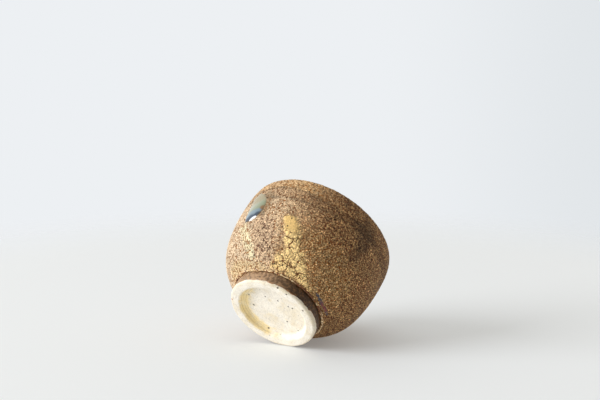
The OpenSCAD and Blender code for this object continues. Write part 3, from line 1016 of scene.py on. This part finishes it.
def thin_iron_glaze(tree):
    """Thin iron glaze, fused dark brown with a purple bloom, partly a painted sheen on the key light's side,
    and a satin face.
    """
    _, _, tint, _ = sizes()
    mottle = add(tree, "ShaderNodeTexNoise", {"Vector": spot(tree), "Scale": 1 / (1.1 * MM), "Detail": 3.0,
                                              "Roughness": 0.7})
    flecked = add(tree, "ShaderNodeMapRange", {0: mottle, 1: 0.48, 2: 0.62, 4: 0.85})
    patchy = add(tree, "ShaderNodeMapRange", {0: mottle, 1: 0.4, 2: 0.56, 3: 0.35, 4: 1.0})
    bloom_and_sheen = add(tree, "ShaderNodeMath", {0: painted(tree, "left"), 1: patchy}, operation="MULTIPLY")
    thin = add(tree, "ShaderNodeMapRange", {0: painted(tree, "cover"), 1: 0.3, 2: 0.0, 4: 0.5})
    return {
        "Base Color": laid(tree, tint.foot_glaze, (flecked, tint.fleck), (bloom_and_sheen, tint.foot_sheen),
                           (thin, tint.scorch)),
        "Normal": add(tree, "ShaderNodeBump", {"Height": mottle, "Strength": 1.0, "Distance": 0.35 * MM}),
        "Roughness": 0.42,
        "IOR": 1.5,
    }


class GUINOMI_OT_rolled_edge(bpy.types.Operator):
    """Models the roll of thick glaze drawn back from the foot"""
    bl_idname = "guinomi.rolled_edge"
    bl_label = "Rolled edge"

    def execute(self, context):
        shape, _, _, _ = sizes()
        bpy.ops.object.select_all(action="DESELECT")
        bpy.ops.mesh.primitive_torus_add(
            major_radius=shape.foot_radius + shape.hip_step, minor_radius=ROLL_RADIUS, major_segments=720,
            minor_segments=20, location=(0, 0, shape.foot_height))
        roll = context.object
        roll.name = "rolled_edge"
        bpy.ops.object.transform_apply(location=True, rotation=False, scale=False)
        bpy.ops.object.shade_smooth()
        bearing, _, _ = measured(roll)
        stops, shares = zip(*ROLL_SHARES)
        paint(roll, "full", np.interp(bearing, stops, shares, period=360))
        # Painted shade: the roll turns brown round the bearing away from the key light
        paint(roll, "right", ramp(facing(bearing, SHADED_ROLL_SIDE), 0.914, 0.978))
        relief(roll, roll_lift)
        finish_piece(roll, beaded_ash_glaze, "hip_roll")
        return {"FINISHED"}


def roll_lift(tree):
    """How far the roll swells or sinks from its mean thickness, in metres."""
    full = add(tree, "ShaderNodeMath", {0: painted(tree, "full"), 1: ROLL_RADIUS, 2: -1.46 * MM},
               operation="MULTIPLY_ADD")
    lumps = add(tree, "ShaderNodeTexNoise", {"Vector": spot(tree), "Scale": 1 / (1.4 * MM), "Detail": 3.0})
    return add(tree, "ShaderNodeMath", {0: lumps, 1: 1.5 * MM, 2: full}, operation="MULTIPLY_ADD")


def beaded_ash_glaze(tree):
    """Thick ash glaze that drew back into a bead: cream-yellow, broken by dark cracks."""
    _, form, tint, _ = sizes()
    mottle = add(tree, "ShaderNodeTexNoise", {"Vector": spot(tree), "Scale": 1 / (0.9 * MM), "Detail": 3.0})
    share = add(tree, "ShaderNodeMapRange", {0: mottle, 1: 0.42, 2: 0.6})
    # Painted shade: dark brown laid on the roll's side away from the key light
    shaded_brown = add(tree, "ShaderNodeMath", {0: painted(tree, "right"), 1: 0.85}, operation="MULTIPLY")
    bead = laid(tree, tint.roll, (share, tint.lip_ground), (shaded_brown, tint.ground))
    whole = plates(tree, 1.3 * MM, 3 * form.crack)
    return {
        "Base Color": laid(tree, tint.ochre_crack, (whole, bead)),
        "Normal": add(tree, "ShaderNodeBump", {"Height": whole, "Strength": 0.5, "Distance": 0.1 * MM}),
        "Roughness": 0.45,
    }


def wall_run(name, outline, spacing, span, soft, kept):
    """Models a run on the outer coat, which carries the coat's relief on and dives under it at its edge."""
    run = skin(name, spacing, span)
    bearing, height, _ = measured(run)
    reach = inside(bearing, height, outline)
    paint(run, "raised", np.ones(len(reach)))
    paint_wall(run)
    paint(run, "swell", RUN_RISE * (2 * ramp(reach, *soft) - 1))
    relief(run, swollen_wall_lift)
    thin_skin(run, reach > kept)
    return run


def swollen_wall_lift(tree):
    """The wall's relief, raised by the painted swell, in metres."""
    return add(tree, "ShaderNodeMath", {0: painted(tree, "swell"), 1: MM, 2: wall_lift(tree)},
               operation="MULTIPLY_ADD")


class GUINOMI_OT_ochre_run(bpy.types.Operator):
    """Models the crackled yellow ochre run down to the hip"""
    bl_idname = "guinomi.ochre_run"
    bl_label = "Ochre run"

    def execute(self, context):
        run = wall_run("ochre_crackle", OCHRE_OUTLINE, 0.25 * MM, (-124, -57), (-1.0, 1.2), -1.1)
        finish_piece(run, crackled_ochre_glaze, "ochre_run")
        return {"FINISHED"}


def crackled_ochre_glaze(tree):
    """Thick ochre slip under ash: yellow plates with a low satin, parted by cracks down to the brown."""
    return {"Base Color": wall_colour(tree), "Normal": wall_bump(tree), "Roughness": 0.55,
            "Specular IOR Level": 0.25}


class GUINOMI_OT_blue_streak(bpy.types.Operator):
    """Models the thin blue-grey streak above the hip"""
    bl_idname = "guinomi.blue_streak"
    bl_label = "Blue streak"

    def execute(self, context):
        trace = wall_run("blue_trace", STREAK_OUTLINE, 0.2 * MM, (-67, -25), (-0.5, 0.5), -0.55)
        bearing, _, _ = measured(trace)
        paint(trace, "reddened", ramp(bearing, -52, -42) * (1 - ramp(bearing, -35, -31)))
        finish_piece(trace, cobalt_brushed_glaze, "blue_streak")
        return {"FINISHED"}


def cobalt_brushed_glaze(tree):
    """A brush of cobalt fused into the glaze: satin blue-grey, red where copper crept in."""
    _, _, tint, _ = sizes()
    line = edge(tree, "streak", 0.35, 0.8, 0.9 * MM)
    red = add(tree, "ShaderNodeMapRange", {0: painted(tree, "streak"), 1: 0.0, 2: 0.25})
    red = add(tree, "ShaderNodeMath", {0: red, 1: painted(tree, "reddened")}, operation="MULTIPLY")
    brushed = laid(tree, tint.streak, (red, tint.streak_red))
    return {"Base Color": laid(tree, wall_colour(tree), (line, brushed)), "Normal": wall_bump(tree),
            "Roughness": 0.4}


class GUINOMI_OT_glass_drop(bpy.types.Operator):
    """Models the drop of blue-green glass below the lip"""
    bl_idname = "guinomi.glass_drop"
    bl_label = "Glass drop"

    def execute(self, context):
        drop = skin("glass_bead", 0.15 * MM, (-166, -137))
        bearing, height, _ = measured(drop)
        reach = inside(bearing, height, DROP_OUTLINE)
        fall = height / MM - DROP_END[1] - 0.22 * (bearing - DROP_END[0])
        thick = 0.95 - 0.6 * ramp(fall, 2.0, 9.0)
        shoulder = np.clip(inside(bearing, height, DROP_OUTLINE, rounding=3) / 2.8, 0, 1)
        dome = shoulder * (2 - shoulder)
        paint(drop, "swell", np.where(reach > 0, thick * dome, reach * 0.6))
        paint(drop, "reach", reach)
        paint(drop, "fall", fall)
        paint(drop, "amber", np.hypot((bearing - AMBER_SPOT[0]) * 0.5, height / MM - AMBER_SPOT[1]))
        relief(drop, bead_lift)
        thin_skin(drop, reach > -0.5)
        finish_piece(drop, pooled_ash_glass, "glass_drip")
        return {"FINISHED"}


def bead_lift(tree):
    """The smooth swell of the glass, in metres."""
    return add(tree, "ShaderNodeMath", {0: painted(tree, "swell"), 1: MM}, operation="MULTIPLY")


def pooled_ash_glass(tree):
    """Pooled ash glass: deep blue where it is thickest, through pale blue and celadon to thin olive."""
    _, _, tint, _ = sizes()
    haze = add(tree, "ShaderNodeTexNoise", {"Vector": spot(tree), "Scale": 1 / (2.2 * MM), "Detail": 3.0})
    hazed = add(tree, "ShaderNodeMath", {0: haze, 1: 2.4, 2: -1.2}, operation="MULTIPLY_ADD")
    level = add(tree, "ShaderNodeMath", {0: painted(tree, "fall"), 1: hazed}, operation="ADD")
    body = tint.glass_deep
    for first, last, shade in ((0.5, 1.6, tint.glass_blue), (2.2, 4.2, tint.glass_green),
                               (6.0, 9.0, tint.glass_olive)):
        share = add(tree, "ShaderNodeMapRange", {0: level, 1: first, 2: last},
                    interpolation_type="SMOOTHSTEP")
        body = laid(tree, body, (share, shade))
    gold = add(tree, "ShaderNodeMapRange", {0: painted(tree, "amber"), 1: 1.4, 2: 0.6})
    rim = add(tree, "ShaderNodeMapRange", {0: painted(tree, "reach"), 1: 0.7, 2: 0.0, 4: 0.7})
    dull = add(tree, "ShaderNodeMapRange", {0: painted(tree, "fall"), 1: 6.0, 2: 11.0, 3: 0.05, 4: 0.5})
    return {"Base Color": laid(tree, body, (gold, tint.amber), (rim, tint.glass_rim)), "Roughness": dull,
            "IOR": 1.65, "Coat Weight": 1.0}


class GUINOMI_OT_stage(bpy.types.Operator):
    """Sets up the photograph's camera, floor, backdrop and light"""
    bl_idname = "guinomi.stage"
    bl_label = "Stage"

    def execute(self, context):
        _, _, tint, view = sizes()
        away = view.distance / view.focal
        centre = Vector(((view.foot_x - PHOTO_WIDTH / 2) * away, (PHOTO_HEIGHT / 2 - view.foot_y) * away,
                         -view.distance))
        up = Vector((math.sin(view.tip) * math.cos(view.swing), math.sin(view.tip) * math.sin(view.swing),
                     -math.cos(view.tip)))
        back = (centre - centre.dot(up) * up).normalized()
        to_row = Matrix((back.cross(up), back, up))
        bpy.ops.object.camera_add()
        camera = context.object
        camera.name = "photo_camera"
        camera.data.sensor_width = SENSOR
        camera.data.lens = view.focal / PHOTO_WIDTH * SENSOR
        camera.data.clip_start = 10 * MM
        camera.matrix_world = Matrix.Translation(-(to_row @ centre)) @ to_row.to_4x4()
        context.scene.camera = camera
        level = to_row @ Vector((0, math.cos(view.down), math.sin(view.down)))
        lay_floor(level, view)
        right = to_row @ Vector((1, 0, 0))
        toward_camera = to_row @ Vector((0, 0, 1))
        front = (toward_camera - level * level.dot(toward_camera)).normalized()
        flat = -math.cos(view.key_forward) * right + math.sin(view.key_forward) * front
        shine(math.cos(view.key_height) * flat + math.sin(view.key_height) * level, tint, view)
        paint_world(tint, right, front, level)
        context.scene.view_settings.view_transform = "Standard"
        return {"FINISHED"}


def placement(place, way):
    """The placement of a flat thing at a place, with its face turned the given way."""
    return Matrix.Translation(place) @ way.to_track_quat("Z", "Y").to_matrix().to_4x4()


def lay_floor(level, view):
    """Lays a pale disc under the tipped cup; it fades out at its rim and can't be seen from below."""
    depth = min(float((np.array(level) @ read(piece, "co")).min()) for piece in bpy.data.objects
                if piece.type == "MESH" and not piece.hide_render)
    middle = Vector((0, 0, 20 * MM))
    bpy.ops.mesh.primitive_circle_add(vertices=96, radius=view.floor_radius, fill_type="TRIFAN")
    floor = bpy.context.object
    floor.name = "pale_floor"
    floor.matrix_world = placement(middle + level * (depth - middle.dot(level)), level)
    paper = material(matt_studio_paper)
    tree = paper.node_tree
    reach = add(tree, "ShaderNodeVectorMath", {0: spot(tree)}, out="Value", operation="LENGTH")
    fade = add(tree, "ShaderNodeMapRange", {0: reach, 1: 0.6 * view.floor_radius, 2: view.floor_radius,
                                            3: 1.0, 4: 0.0}, interpolation_type="SMOOTHSTEP")
    behind = add(tree, "ShaderNodeNewGeometry", out="Backfacing")
    before = add(tree, "ShaderNodeMath", {0: 1.0, 1: behind}, operation="SUBTRACT")
    shown = add(tree, "ShaderNodeMath", {0: fade, 1: before}, operation="MULTIPLY")
    clear = add(tree, "ShaderNodeBsdfTransparent")
    matt = tree.nodes["Principled BSDF"].outputs[0]
    mixed = add(tree, "ShaderNodeMixShader", {0: shown, 1: clear, 2: matt})
    fill(tree, tree.nodes["Material Output"], {"Surface": mixed})
    floor.data.materials.append(paper)


def matt_studio_paper(tree):
    """Plain studio paper: matt and pale, with a little light of its own for the room's bounce."""
    _, _, tint, _ = sizes()
    return {"Base Color": tint.floor, "Roughness": 0.9, "Specular IOR Level": 0.1,
            "Emission Color": tint.room, "Emission Strength": 0.2}


def shine(toward, tint, view):
    """Hangs the one big soft key light."""
    bpy.ops.object.light_add(type="AREA")
    key = bpy.context.object
    key.name = "window_key"
    key.data.shape = "DISK"
    key.data.size = view.key_size
    key.data.energy = view.key_power
    key.data.color = tint.window
    key.visible_camera = False
    key.matrix_world = placement(toward * view.key_distance, toward)


def paint_world(tint, right, front, level):
    """Lights the cup from a soft room, dim behind the camera, before a plain pale backdrop."""
    world = bpy.data.worlds.new("studio_room")
    world.use_nodes = True
    bpy.context.scene.world = world
    tree = world.node_tree
    tree.nodes.clear()
    look = add(tree, "ShaderNodeTexCoord", out="Generated")
    bright_side = (-front - right * 0.3 - level * 0.1).normalized()
    across, height, bright = (
        add(tree, "ShaderNodeVectorMath", {0: look, 1: tuple(way)}, out="Value", operation="DOT_PRODUCT")
        for way in (right, level, bright_side))
    room = add(tree, "ShaderNodeMapRange", {0: bright, 1: -0.9, 2: 0.7, 3: 0.3, 4: 0.95},
               interpolation_type="SMOOTHSTEP")
    below = add(tree, "ShaderNodeMapRange", {0: height, 1: 0.05, 2: -0.1}, interpolation_type="SMOOTHSTEP")
    floor_glow = add(tree, "ShaderNodeMapRange", {0: across, 1: -0.6, 2: 0.8, 3: 0.8, 4: 0.7})
    strength = add(tree, "ShaderNodeMix", {0: below, 2: room, 3: floor_glow})
    lit = add(tree, "ShaderNodeBackground", {"Color": tint.room, "Strength": strength})
    side = add(tree, "ShaderNodeMapRange", {0: across, 1: 0.04, 2: 0.22}, interpolation_type="SMOOTHSTEP")
    sky = laid(tree, tint.sky_left, (side, tint.sky_right))
    backdrop = add(tree, "ShaderNodeBackground", {"Color": sky})
    seen = add(tree, "ShaderNodeLightPath", out="Is Camera Ray")
    mixed = add(tree, "ShaderNodeMixShader", {0: seen, 1: lit, 2: backdrop})
    fill(tree, tree.nodes.new("ShaderNodeOutputWorld"), {"Surface": mixed})


OPERATORS = (
    GUINOMI_OT_bowl_clay,
    GUINOMI_OT_outer_coat,
    GUINOMI_OT_inner_coat,
    GUINOMI_OT_foot,
    GUINOMI_OT_foot_coat,
    GUINOMI_OT_rolled_edge,
    GUINOMI_OT_ochre_run,
    GUINOMI_OT_blue_streak,
    GUINOMI_OT_glass_drop,
    GUINOMI_OT_stage,
)
GROUPS = {
    "guinomi_shape": GuinomiShape,
    "guinomi_relief": GuinomiRelief,
    "guinomi_colours": GuinomiColours,
    "guinomi_stage": GuinomiStage,
}


class GUINOMI_PT_sidebar(bpy.types.Panel):
    """Lists the cup's pieces and their settings"""
    bl_label = "Guinomi"
    bl_idname = "GUINOMI_PT_sidebar"
    bl_space_type = "VIEW_3D"
    bl_region_type = "UI"
    bl_category = "Guinomi"

    def draw(self, context):
        for operator in OPERATORS:
            self.layout.operator(operator.bl_idname)
        for settings in sizes():
            box = self.layout.box()
            for name in settings.__annotations__:
                box.prop(settings, name)


def register():
    """Registers the settings, the operators and the panel."""
    for name, group in GROUPS.items():
        bpy.utils.register_class(group)
        setattr(bpy.types.Scene, name, PointerProperty(type=group))
    for kind in (*OPERATORS, GUINOMI_PT_sidebar):
        bpy.utils.register_class(kind)


def unregister():
    """Takes the panel, the operators and the settings away again."""
    for kind in (GUINOMI_PT_sidebar, *reversed(OPERATORS)):
        bpy.utils.unregister_class(kind)
    for name, group in reversed(GROUPS.items()):
        delattr(bpy.types.Scene, name)
        bpy.utils.unregister_class(group)


def main():
    """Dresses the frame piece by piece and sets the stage."""
    register()
    for operator in OPERATORS:
        group, name = operator.bl_idname.split(".")
        getattr(getattr(bpy.ops, group), name)()


if __name__ == "__main__":
    main()
